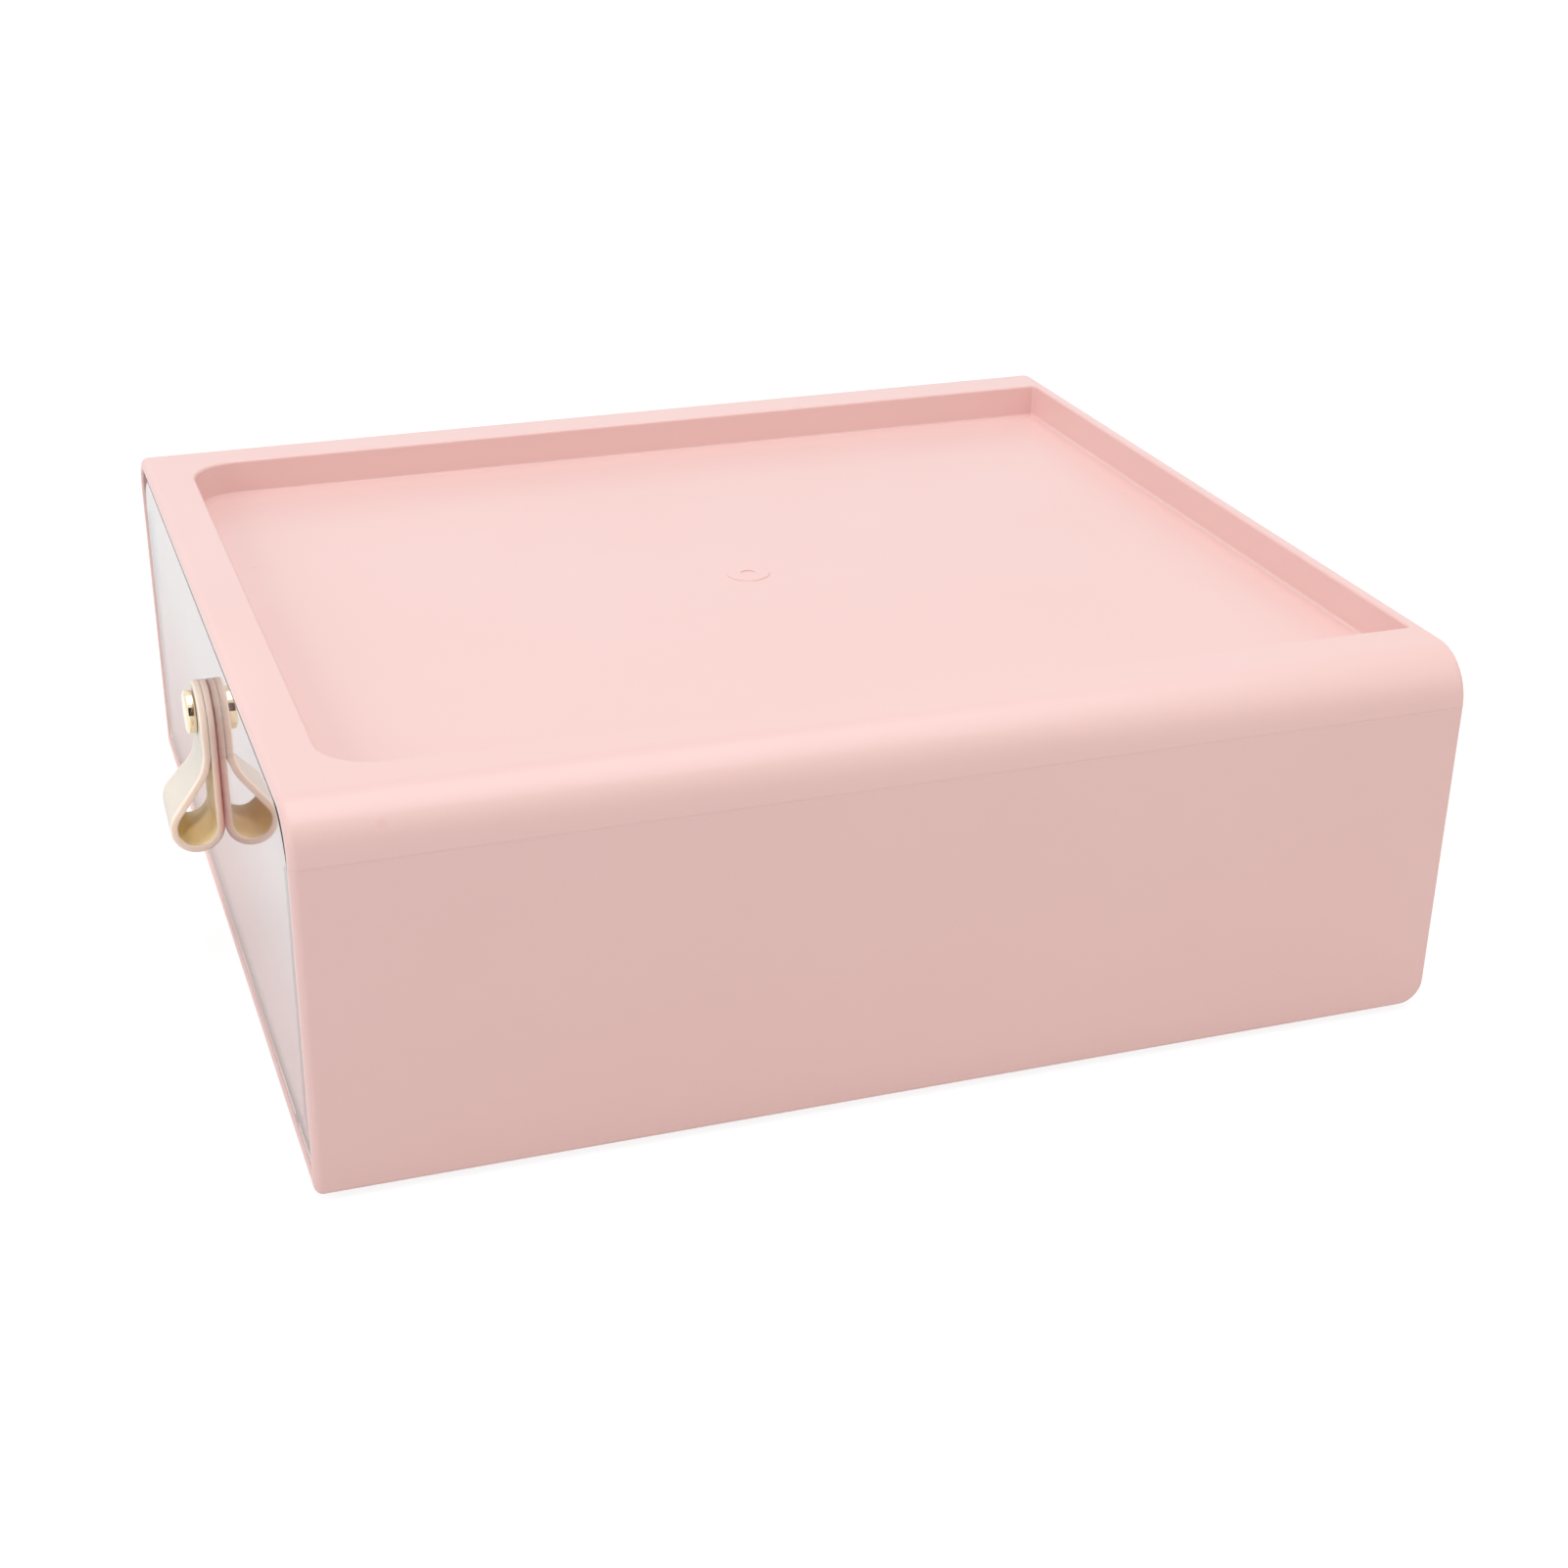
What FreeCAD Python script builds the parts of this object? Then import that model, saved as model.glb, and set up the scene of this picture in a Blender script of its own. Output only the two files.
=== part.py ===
import FreeCAD, Part
import os
from math import cos, radians, sin, tan
from FreeCAD import Vector

# A desktop storage box: a moulded case with a shallow tray in its top, and a clear
# drawer that slides out of the open front on a folded strap handle.
# Sizes are in millimetres. X runs across the box, the front faces -Y, and Z is up.
# The origin is on the table, under the middle of the case.

# Case
case_width = 240.0
case_depth = 255.0
case_height = 85.7
case_wall = 3.0
rear_wall = 2.9
top_edge_radius = 11.4
parting_band = 0.4
side_draft = radians(1.0)
rear_heel_radius = 5.6
edge_radius = 1.2
front_edge_radius = 1.8
opening_edge_radius = 0.8
opening_floor_radius = 1.0

# Tray in the top of the case
tray_depth = 8.8
tray_floor_thickness = 2.5
tray_wall = 2.5
tray_side_rim = 19.9
tray_front_rim = 11.2
tray_front_corner = 12.0
tray_rear_corner = 0.9
tray_draft = radians(1.5)
tray_corner_radius = 0.8
tray_rim_radius = 0.8
gate_pad_diameter = 10.5
gate_pad_height = 0.3
gate_pad_chamfer = 0.2
gate_dimple_diameter = 3.6
gate_dimple_depth = 0.25

# Foot pads
foot_diameter = 14.0
foot_thickness = 2.2
foot_chamfer = 0.5
foot_seat_depth = 0.7
foot_seat_clearance = 0.2
foot_side_inset = 24.0
foot_end_inset = 24.0

# Drawer
panel_thickness = 3.0
panel_gap = 1.1
panel_recess = 0.4
panel_top_corner = 15.0
panel_bottom_corner = 3.0
panel_edge_radius = 0.5
drawer_wall = 2.2
drawer_floor = 2.2
drawer_side_gap = 3.2
drawer_rear_gap = 0.3
drawer_top_gap = 4.0
drawer_rear_corner = 6.0
drawer_front_corner = 4.0
drawer_floor_corner = 3.5
drawer_inner_corner = 1.8
drawer_draft = radians(1.0)
drawer_rim_chamfer = 0.5
running_clearance = 0.3

# Runners and stop
skid_height = 1.5
skid_width = 4.0
skid_inset = 18.0
skid_end_inset = 8.0
guide_height = 3.0
guide_clearance = 0.5
guide_drop = 12.0
guide_front_inset = 22.0
stop_travel = 200.0
stop_gap = 0.2
stop_height = 1.2
stop_width = 14.0
stop_offset = 42.0
stop_front_inset = 17.0
stop_flat = 1.2
stop_ramp = 4.0

# Strap handle
stud_drop = 27.0
strap_width = 19.5
strap_thickness = 1.7
strap_layer_gap = 0.1
strap_clearance = 0.1
strap_end_reach = 6.8
strap_end_corner = 9.2
strap_hole_clearance = 0.2
loop_drop = 31.4
loop_radius = 6.3
loop_flare = radians(36.0)
flare_bend_radius = 12.9

# Stud, screw and washer
stud_head_diameter = 10.2
stud_head_height = 2.2
stud_bevel = 0.7
stud_shank_diameter = 5.0
stud_shank_setback = 0.3
stud_bore_bottom = 1.2
panel_hole_clearance = 0.15
screw_diameter = 3.0
screw_thread_clearance = 0.05
screw_end_gap = 0.8
screw_head_diameter = 6.0
screw_head_height = 2.2
screw_head_dome = 0.9
screw_slot_width = 0.9
screw_slot_length = 3.4
screw_slot_depth = 1.2
washer_diameter = 9.0
washer_thickness = 0.8
washer_hole_clearance = 0.2

# How near two places count as one, and where along an edge its place is tested
same_place = 0.01
edge_sample_shares = (0.02, 0.5, 0.98)

# Places that follow from the sizes
case_front = -case_depth / 2
case_rear = case_depth / 2
case_side = case_width / 2
case_bottom = foot_thickness - foot_seat_depth
case_top = case_bottom + case_height
inner_side = case_side - case_wall
inner_floor = case_bottom + case_wall
inner_top = case_top - case_wall
inner_rear = case_rear - rear_wall
inner_top_radius = top_edge_radius - case_wall
parting_height = case_top - top_edge_radius - parting_band

tray_side = case_side - tray_side_rim
tray_front = case_front + tray_front_rim
tray_floor = case_top - tray_depth
tray_underside = tray_floor - tray_floor_thickness

panel_front = case_front + panel_recess
panel_back = panel_front + panel_thickness
drawer_side = inner_side - drawer_side_gap
drawer_rear = inner_rear - drawer_rear_gap
drawer_bottom = inner_floor + running_clearance + skid_height
drawer_top = tray_underside - drawer_top_gap
drawer_inner_floor = drawer_bottom + drawer_floor
panel_middle = panel_back - panel_thickness / 2

stud_height = case_top - stud_drop
strap_back = panel_front - strap_clearance
strap_stack = 2 * strap_thickness + strap_layer_gap
strap_top = stud_height + strap_end_reach
loop_centre_height = stud_height - loop_drop + loop_radius
head_back = strap_back - strap_stack - strap_clearance
washer_back = panel_back + washer_thickness


# Gives a closed wire through the corners, each rounded by its own radius, or left sharp at 0.
def rounded_wire(corners, radii):
    edges = []
    starts = []
    ends = []
    for index, corner in enumerate(corners):
        radius = radii[index]
        to_last = (corners[index - 1] - corner).normalize()
        to_next = (corners[(index + 1) % len(corners)] - corner).normalize()
        if radius == 0:
            starts.append(corner)
            ends.append(corner)
            edges.append(None)
            continue
        half_angle = to_last.getAngle(to_next) / 2
        reach = radius / tan(half_angle)
        bisector = (to_last + to_next).normalize()
        centre = corner + bisector * (radius / sin(half_angle))
        starts.append(corner + to_last * reach)
        ends.append(corner + to_next * reach)
        edges.append(Part.Arc(starts[-1], centre - bisector * radius, ends[-1]).toShape())
    outline = []
    for index, arc in enumerate(edges):
        if arc is not None:
            outline.append(arc)
        following = starts[(index + 1) % len(corners)]
        outline.append(Part.LineSegment(ends[index], following).toShape())
    return Part.Wire(outline)


# Gives the solid made by pushing a closed wire along a vector.
def prism(wire, push):
    return Part.Face(wire).extrude(push)


# The sides lean in below the parting line: half a width at one height, from that at the line.
def leaned(half_width, height):
    return half_width - max(0, parting_height - height) * tan(side_draft)


# Gives a solid of the case's section, or of one inside it, from one depth to another.
def case_section(half_width, low, high, start, finish, bottom_radius, top_radius):
    corners = [
        Vector(-leaned(half_width, low), start, low),
        Vector(leaned(half_width, low), start, low),
        Vector(half_width, start, parting_height),
        Vector(half_width, start, high),
        Vector(-half_width, start, high),
        Vector(-half_width, start, parting_height),
    ]
    wire = rounded_wire(corners, [bottom_radius, bottom_radius, 0, top_radius, top_radius, 0])
    return prism(wire, Vector(0, finish - start, 0))


# Gives a plan outline at one height, with its own front and rear corner radii.
def plan_wire(half_width, front, rear, height, front_corner, rear_corner):
    corners = [
        Vector(-half_width, front, height),
        Vector(half_width, front, height),
        Vector(half_width, rear, height),
        Vector(-half_width, rear, height),
    ]
    return rounded_wire(corners, [front_corner, front_corner, rear_corner, rear_corner])


# Gives a block with the section of the (y, z) points, centred on a place across the box.
def ridge(points, centre_x, width):
    corners = [Vector(centre_x - width / 2, y, z) for y, z in points]
    return prism(rounded_wire(corners, [0] * len(corners)), Vector(width, 0, 0))


# Gives the edges of a shape whose every sampled point passes the test.
def edges_where(shape, test):
    chosen = []
    for edge in shape.Edges:
        first, last = edge.ParameterRange
        samples = [first + (last - first) * share for share in edge_sample_shares]
        if all(test(edge.valueAt(place)) for place in samples):
            chosen.append(edge)
    return chosen


def near(value, target):
    return abs(value - target) < same_place


# Gives a block whose walls lean in towards its floor. It is at its full size at its top.
def leaning_block(half_width, front, rear, low, high, draft, front_draft):
    lean = (high - low) * tan(draft)
    front_lean = (high - low) * tan(front_draft)
    across = [
        Vector(-half_width + lean, front, low),
        Vector(half_width - lean, front, low),
        Vector(half_width, front, high),
        Vector(-half_width, front, high),
    ]
    along = [
        Vector(-half_width, front + front_lean, low),
        Vector(-half_width, rear - lean, low),
        Vector(-half_width, rear, high),
        Vector(-half_width, front, high),
    ]
    block = prism(rounded_wire(across, [0, 0, 0, 0]), Vector(0, rear - front, 0))
    return block.common(prism(rounded_wire(along, [0, 0, 0, 0]), Vector(2 * half_width, 0, 0)))


# Rounds a block's upright corners, those in the front half and in the rear half of its depth.
def round_corners(block, front_radius, rear_radius):
    upright = []
    for edge in block.Edges:
        low, high = sorted(vertex.Z for vertex in edge.Vertexes)
        if near(low, block.BoundBox.ZMin) and near(high, block.BoundBox.ZMax):
            upright.append(edge)
    middle = block.BoundBox.Center.y
    for radius, side in ((front_radius, -1), (rear_radius, 1)):
        if radius > 0:
            chosen = [edge for edge in upright if (edge.CenterOfMass.y - middle) * side > 0]
            block = block.makeFillet(radius, chosen)
    return block


def make_case_outside():
    block = case_section(case_side, case_bottom, case_top, case_front, case_rear, 0, top_edge_radius)
    heel_corners = [
        Vector(-case_side, case_front, case_bottom),
        Vector(-case_side, case_rear, case_bottom),
        Vector(-case_side, case_rear, case_top),
        Vector(-case_side, case_front, case_top),
    ]
    heel_wire = rounded_wire(heel_corners, [0, rear_heel_radius, 0, 0])
    block = block.common(prism(heel_wire, Vector(case_width, 0, 0)))

    # The rear outline, the heel and the two long bottom edges are one smooth line.
    def on_rear_outline(point):
        on_rear = near(point.y, case_rear) and not near(point.z, case_bottom + rear_heel_radius)
        on_flank = near(abs(point.x), leaned(case_side, point.z))
        in_heel = point.y > case_rear - rear_heel_radius and point.z < case_bottom + rear_heel_radius
        return on_rear or (on_flank and (in_heel or near(point.z, case_bottom)))

    block = block.makeFillet(edge_radius, edges_where(block, on_rear_outline))
    return block.makeFillet(front_edge_radius, edges_where(block, lambda p: near(p.y, case_front)))


# The hollow of the tray, wider at its mouth by the draft of its walls.
def make_tray_hollow():
    hollow = leaning_block(tray_side, tray_front, inner_rear, tray_floor, case_top, tray_draft, tray_draft)
    hollow = round_corners(hollow, tray_front_corner, tray_rear_corner)
    return hollow.makeFillet(tray_corner_radius, edges_where(hollow, lambda p: near(p.z, tray_floor)))


# The space for the drawer follows the outside, and dips under the tray by the tray's own wall.
def make_drawer_space():
    space = case_section(
        inner_side, inner_floor, inner_top, case_front, inner_rear,
        opening_floor_radius, inner_top_radius)
    pan_wire = plan_wire(
        tray_side + tray_wall, tray_front - tray_wall, case_rear, tray_underside,
        tray_front_corner + tray_wall, tray_rear_corner)
    return space.cut(prism(pan_wire, Vector(0, 0, case_height)))


def foot_places():
    across = case_side - foot_side_inset
    along = case_rear - foot_end_inset
    return {
        "foot_front_left": Vector(-across, -along, 0),
        "foot_front_right": Vector(across, -along, 0),
        "foot_rear_left": Vector(-across, along, 0),
        "foot_rear_right": Vector(across, along, 0),
    }


# Half the drawer's outside width at one height: its walls lean in towards the floor.
def drawer_half_width(height):
    return drawer_side - (drawer_top - height) * tan(drawer_draft)


# A rib on each flank of the case keeps the drawer centred.
def make_guides():
    guide_top = drawer_top - guide_drop
    guide_middle = guide_top - guide_height / 2
    tip = drawer_half_width(guide_middle) + guide_clearance
    face = leaned(inner_side, guide_middle)
    root = face + case_wall / 2
    start = case_front + guide_front_inset
    guides = []
    for side in (-1, 1):
        corners = [
            Vector(side * root, start, guide_middle),
            Vector(side * face, start, guide_middle),
            Vector(side * tip, start + guide_height, guide_middle),
            Vector(side * tip, inner_rear + rear_wall / 2, guide_middle),
            Vector(side * root, inner_rear + rear_wall / 2, guide_middle),
        ]
        guide = prism(rounded_wire(corners, [0] * len(corners)), Vector(0, 0, guide_height))
        guide.translate(Vector(0, 0, -guide_height / 2))
        guides.append(guide)
    return guides


# Two ramps on the case floor catch the drawer's stop ribs before it leaves the case.
def make_stop_ramps():
    catch = case_front + stop_front_inset
    root = inner_floor - case_wall / 2
    peak = inner_floor + stop_height
    profile = [
        (catch - stop_flat - stop_ramp, root),
        (catch, root),
        (catch, peak),
        (catch - stop_flat, peak),
        (catch - stop_flat - stop_ramp, inner_floor),
    ]
    return [ridge(profile, side * stop_offset, stop_width) for side in (-1, 1)]


# The low round pad in the middle of the tray, dimpled where the plastic entered the mould.
def make_gate_pad():
    middle = (tray_front + inner_rear) / 2
    root = tray_floor - tray_floor_thickness / 2
    pad_top = tray_floor + gate_pad_height
    pad = Part.makeCylinder(gate_pad_diameter / 2, pad_top - root, Vector(0, middle, root))
    pad = pad.makeChamfer(gate_pad_chamfer, edges_where(pad, lambda p: near(p.z, pad_top)))
    dimple_base = Vector(0, middle, pad_top - gate_dimple_depth)
    return pad.cut(Part.makeCylinder(gate_dimple_diameter / 2, gate_dimple_depth, dimple_base))


def make_case():
    shell = make_case_outside().cut(make_tray_hollow()).cut(make_drawer_space())
    for detail in make_guides() + make_stop_ramps() + [make_gate_pad()]:
        shell = shell.fuse(detail)
    for place in foot_places().values():
        seat_radius = foot_diameter / 2 + foot_seat_clearance
        seat_base = Vector(place.x, place.y, case_bottom)
        shell = shell.cut(Part.makeCylinder(seat_radius, foot_seat_depth, seat_base))
    shell = shell.removeSplitter()

    # The tray's rim and the mouth of the case have eased edges.
    def on_tray_rim(point):
        across = abs(point.x) < tray_side + same_place
        along = tray_front - same_place < point.y < inner_rear + same_place
        return near(point.z, case_top) and across and along

    shell = shell.makeFillet(tray_rim_radius, edges_where(shell, on_tray_rim))

    def on_mouth(point):
        inside = abs(point.x) < inner_side + same_place and point.z < inner_top + same_place
        return near(point.y, case_front) and inside

    return shell.makeFillet(opening_edge_radius, edges_where(shell, on_mouth))


def make_foot(place):
    foot = Part.makeCylinder(foot_diameter / 2, foot_thickness, place)
    return foot.makeChamfer(foot_chamfer, edges_where(foot, lambda p: near(p.z, 0)))


def make_front_panel():
    half_width = inner_side - panel_gap
    low = inner_floor + panel_gap
    high = inner_top - panel_gap
    corners = [
        Vector(-leaned(half_width, low), panel_front, low),
        Vector(leaned(half_width, low), panel_front, low),
        Vector(half_width, panel_front, high),
        Vector(-half_width, panel_front, high),
    ]
    outline = rounded_wire(
        corners, [panel_bottom_corner, panel_bottom_corner, panel_top_corner, panel_top_corner])
    panel = prism(outline, Vector(0, panel_thickness, 0))
    return panel.makeFillet(panel_edge_radius, edges_where(panel, lambda p: near(p.y, panel_front)))


# A form of the drawer's tub, outside or inside: its front wall is upright, the others lean.
def make_tub_form(half_width, front, rear, low, front_corner, rear_corner, floor_radius):
    form = leaning_block(half_width, front, rear, low, drawer_top, drawer_draft, 0)
    form = round_corners(form, front_corner, rear_corner)
    on_floor = edges_where(form, lambda p: near(p.z, low) and p.y > front + same_place)
    return form.makeFillet(floor_radius, on_floor)


def make_skids():
    finish = drawer_rear - skid_end_inset
    top = drawer_bottom + drawer_floor / 2
    bottom = drawer_bottom - skid_height
    profile = [
        (panel_middle, bottom),
        (finish - skid_height, bottom),
        (finish, drawer_bottom),
        (finish, top),
        (panel_middle, top),
    ]
    place = drawer_half_width(drawer_bottom) - skid_inset
    return [ridge(profile, side * place, skid_width) for side in (-1, 1)]


# The ribs under the drawer that meet the case's ramps when the drawer is fully out.
def make_stop_ribs():
    catch = case_front + stop_front_inset + stop_travel + stop_gap
    bottom = drawer_bottom - skid_height
    top = drawer_bottom + drawer_floor / 2
    profile = [
        (catch, bottom),
        (catch + stop_flat, bottom),
        (catch + stop_flat + stop_ramp, drawer_bottom),
        (catch + stop_flat + stop_ramp, top),
        (catch, top),
    ]
    return [ridge(profile, side * stop_offset, stop_width) for side in (-1, 1)]


def make_tub():
    outside = make_tub_form(
        drawer_side, panel_middle, drawer_rear, drawer_bottom,
        0, drawer_rear_corner, drawer_floor_corner)
    inside = make_tub_form(
        drawer_side - drawer_wall, panel_back, drawer_rear - drawer_wall, drawer_inner_floor,
        drawer_front_corner, drawer_rear_corner - drawer_wall, drawer_inner_corner)
    tub = outside.cut(inside)
    rim_start = panel_middle + same_place
    on_rim = edges_where(tub, lambda p: near(p.z, drawer_top) and p.y > rim_start)
    return tub.makeChamfer(drawer_rim_chamfer, on_rim)


def make_drawer():
    drawer = make_front_panel().fuse(make_tub())
    for rib in make_skids() + make_stop_ribs():
        drawer = drawer.fuse(rib)
    drawer = drawer.removeSplitter()
    hole_radius = stud_shank_diameter / 2 + panel_hole_clearance
    hole_base = Vector(0, panel_front, stud_height)
    return drawer.cut(Part.makeCylinder(hole_radius, panel_thickness, hole_base, Vector(0, 1, 0)))


# One face of the strap, seen from the side: down the panel, round the loop, out along the
# flare, and back up over the first layer. The offset is from the middle of the strap's
# thickness, towards the panel on the first layer.
def strap_face_edges(offset):
    middle = strap_back - strap_thickness / 2
    loop_middle_radius = loop_radius - strap_thickness / 2
    loop_y = middle - loop_middle_radius
    outer_y = middle - strap_thickness - strap_layer_gap
    turn = radians(180) + loop_flare

    def round_loop(angle):
        reach = loop_middle_radius + offset
        return Vector(0, loop_y + reach * cos(angle), loop_centre_height - reach * sin(angle))

    bend_y = outer_y - flare_bend_radius
    flare_run = bend_y + flare_bend_radius * cos(loop_flare) - loop_y
    flare_run += loop_middle_radius * cos(loop_flare)
    bend_height = loop_centre_height + loop_middle_radius * sin(loop_flare)
    bend_height += flare_run / tan(loop_flare) + flare_bend_radius * sin(loop_flare)

    def round_bend(angle):
        reach = flare_bend_radius - offset
        return Vector(0, bend_y + reach * cos(angle), bend_height - reach * sin(angle))

    first = Vector(0, middle + offset, strap_top)
    last = Vector(0, outer_y - offset, strap_top)
    return [
        Part.LineSegment(first, round_loop(0)).toShape(),
        Part.Arc(round_loop(0), round_loop(turn / 2), round_loop(turn)).toShape(),
        Part.LineSegment(round_loop(turn), round_bend(loop_flare)).toShape(),
        Part.Arc(round_bend(loop_flare), round_bend(loop_flare / 2), round_bend(0)).toShape(),
        Part.LineSegment(round_bend(0), last).toShape(),
    ]


def make_strap():
    back = strap_face_edges(strap_thickness / 2)
    face = strap_face_edges(-strap_thickness / 2)
    first_end = Part.LineSegment(back[0].Vertexes[0].Point, face[0].Vertexes[0].Point).toShape()
    last_end = Part.LineSegment(back[-1].Vertexes[1].Point, face[-1].Vertexes[1].Point).toShape()
    outline = Part.Wire(Part.__sortEdges__(back + face + [first_end, last_end]))
    strap = prism(outline, Vector(strap_width, 0, 0))
    strap.translate(Vector(-strap_width / 2, 0, 0))

    # Both ends of the strap are cut round above the stud, by a form that clears the loop.
    clear = loop_radius
    half_width = strap_width / 2
    low = loop_centre_height - loop_radius - clear
    corners = [
        Vector(-half_width, strap_back, low),
        Vector(half_width, strap_back, low),
        Vector(half_width, strap_back, strap_top),
        Vector(-half_width, strap_back, strap_top),
    ]
    end_form = prism(
        rounded_wire(corners, [0, 0, strap_end_corner, strap_end_corner]),
        Vector(0, -2 * loop_radius - clear, 0))
    strap = strap.common(end_form)
    hole_radius = stud_shank_diameter / 2 + strap_hole_clearance
    hole_base = Vector(0, head_back, stud_height)
    return strap.cut(Part.makeCylinder(hole_radius, strap_back - head_back, hole_base, Vector(0, 1, 0)))


# Gives the solid turned about the stud's axis by (radius, y) points.
def turned(points):
    corners = [Vector(radius, y, stud_height) for radius, y in points]
    face = Part.Face(rounded_wire(corners, [0] * len(corners)))
    return face.revolve(Vector(0, 0, stud_height), Vector(0, 1, 0), 360)


def make_stud():
    head_front = head_back - stud_head_height
    head_radius = stud_head_diameter / 2
    shank_radius = stud_shank_diameter / 2
    shank_end = panel_back - stud_shank_setback
    bore_radius = screw_diameter / 2 + screw_thread_clearance
    bore_end = head_front + stud_bore_bottom
    return turned([
        (0, head_front),
        (head_radius - stud_bevel, head_front),
        (head_radius, head_front + stud_bevel),
        (head_radius, head_back),
        (shank_radius, head_back),
        (shank_radius, shank_end),
        (bore_radius, shank_end),
        (bore_radius, bore_end),
        (0, bore_end),
    ])


def make_washer():
    outer = Part.makeCylinder(
        washer_diameter / 2, washer_thickness, Vector(0, panel_back, stud_height), Vector(0, 1, 0))
    hole_radius = screw_diameter / 2 + washer_hole_clearance
    hole = Part.makeCylinder(
        hole_radius, washer_thickness, Vector(0, panel_back, stud_height), Vector(0, 1, 0))
    return outer.cut(hole)


# A pan-head screw driven from inside the drawer, with a cross slot in its head.
def make_screw():
    tip = head_back - stud_head_height + stud_bore_bottom + screw_end_gap
    head_radius = screw_head_diameter / 2
    head_end = washer_back + screw_head_height
    screw = turned([
        (0, tip),
        (screw_diameter / 2, tip),
        (screw_diameter / 2, washer_back),
        (head_radius, washer_back),
        (head_radius, head_end - screw_head_dome),
        (head_radius - screw_head_dome, head_end),
        (0, head_end),
    ])
    for width, height in ((screw_slot_length, screw_slot_width), (screw_slot_width, screw_slot_length)):
        corner = Vector(-width / 2, head_end - screw_slot_depth, stud_height - height / 2)
        screw = screw.cut(Part.makeBox(width, screw_slot_depth, height, corner))
    return screw


pieces = {
    "case_shell": make_case(),
    "drawer": make_drawer(),
    "handle_strap": make_strap(),
    "handle_stud": make_stud(),
    "handle_washer": make_washer(),
    "handle_screw": make_screw(),
}
for name, place in foot_places().items():
    pieces[name] = make_foot(place)

os.makedirs("parts", exist_ok=True)
for name, shape in pieces.items():
    shape.exportStep(f"parts/{name}.step")
    box = shape.optimalBoundingBox()
    print(f"{name}: {len(shape.Solids)} solid, valid {shape.isValid()}, volume {shape.Volume:.1f},",
          f"{box.XLength:.2f} x {box.YLength:.2f} x {box.ZLength:.2f}")
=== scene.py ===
from math import cos, pi, radians, sin, tan

import bmesh
import bpy
import numpy as np
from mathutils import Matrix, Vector


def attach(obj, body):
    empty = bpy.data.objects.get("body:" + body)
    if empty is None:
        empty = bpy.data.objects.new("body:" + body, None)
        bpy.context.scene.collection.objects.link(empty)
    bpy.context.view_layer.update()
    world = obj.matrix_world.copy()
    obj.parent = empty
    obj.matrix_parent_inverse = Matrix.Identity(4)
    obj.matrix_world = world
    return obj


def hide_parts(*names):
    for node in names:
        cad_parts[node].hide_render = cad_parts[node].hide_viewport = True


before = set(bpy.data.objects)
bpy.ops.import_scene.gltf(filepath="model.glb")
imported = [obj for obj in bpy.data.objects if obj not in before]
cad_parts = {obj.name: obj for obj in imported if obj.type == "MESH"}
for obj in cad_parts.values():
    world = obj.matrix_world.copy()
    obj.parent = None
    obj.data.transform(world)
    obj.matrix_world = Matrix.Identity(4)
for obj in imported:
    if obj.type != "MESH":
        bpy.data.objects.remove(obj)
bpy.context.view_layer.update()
print("frame loaded:", len(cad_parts), "nodes")

mm = 0.001
joinGap = 0.001 * mm  # points of a new piece that lie closer than this become one
scene = bpy.context.scene
scene.view_settings.view_transform = "Standard"


# Makes an object at the origin from an array of points and a list of faces, in millimetres.
# Each mark holds one value for every point. Edges above the sharp angle, if any, stay sharp.
def makePiece(name, points, faces, material, sharpAngle=None, marks=None):
    mesh = bpy.data.meshes.new(name)
    mesh.from_pydata((points * mm).tolist(), [], faces.tolist())
    for mark, values in (marks or {}).items():
        attribute = mesh.attributes.new(mark, "FLOAT", "POINT")
        attribute.data.foreach_set("value", values.astype(np.float32))
    work = bmesh.new()
    work.from_mesh(mesh)
    bmesh.ops.remove_doubles(work, verts=work.verts, dist=joinGap)
    bmesh.ops.recalc_face_normals(work, faces=work.faces)
    work.to_mesh(mesh)
    work.free()
    mesh.shade_smooth()
    if sharpAngle is not None:
        mesh.set_sharp_from_angle(angle=sharpAngle)
    mesh.materials.append(material)
    piece = bpy.data.objects.new(name, mesh)
    scene.collection.objects.link(piece)
    return piece


# Faces of a grid of rows whose columns close into a ring: each joins a point with the next one
# along and the two below them.
def ringFaces(rows, columns):
    index = np.arange(rows * columns).reshape(rows, columns)
    index = np.concatenate([index, index[:, :1]], axis=1)
    corners = [index[:-1, :-1], index[1:, :-1], index[1:, 1:], index[:-1, 1:]]
    return np.stack(corners, axis=-1).reshape(-1, 4)


# Gives a node's inputs their values, or links from other nodes' outputs.
def fillInputs(tree, node, inputs):
    for key, value in inputs.items():
        if isinstance(value, bpy.types.NodeSocket):
            tree.links.new(value, node.inputs[key])
        else:
            node.inputs[key].default_value = value


# A new node with its settings and inputs.
def addNode(tree, kind, inputs=None, **settings):
    node = tree.nodes.new(kind)
    for key, value in settings.items():
        setattr(node, key, value)
    fillInputs(tree, node, inputs or {})
    return node


# A material with its node tree, its shader and the place in the object that patterns follow.
def newMaterial(name):
    material = bpy.data.materials.new(name)
    material.use_nodes = True
    tree = material.node_tree
    shader = tree.nodes["Principled BSDF"]
    place = addNode(tree, "ShaderNodeTexCoord").outputs["Object"]
    return material, tree, shader, place


# One step of arithmetic on one or two values.
def mathNode(tree, operation, first, second=0.0, clamp=False):
    inputs = {0: first, 1: second}
    return addNode(tree, "ShaderNodeMath", inputs, operation=operation, use_clamp=clamp).outputs[0]


# (1 - share) x first + share x second.
def mixColours(tree, share, first, second):
    inputs = {0: share, 6: first, 7: second}
    return addNode(tree, "ShaderNodeMix", inputs, data_type="RGBA").outputs[2]


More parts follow.
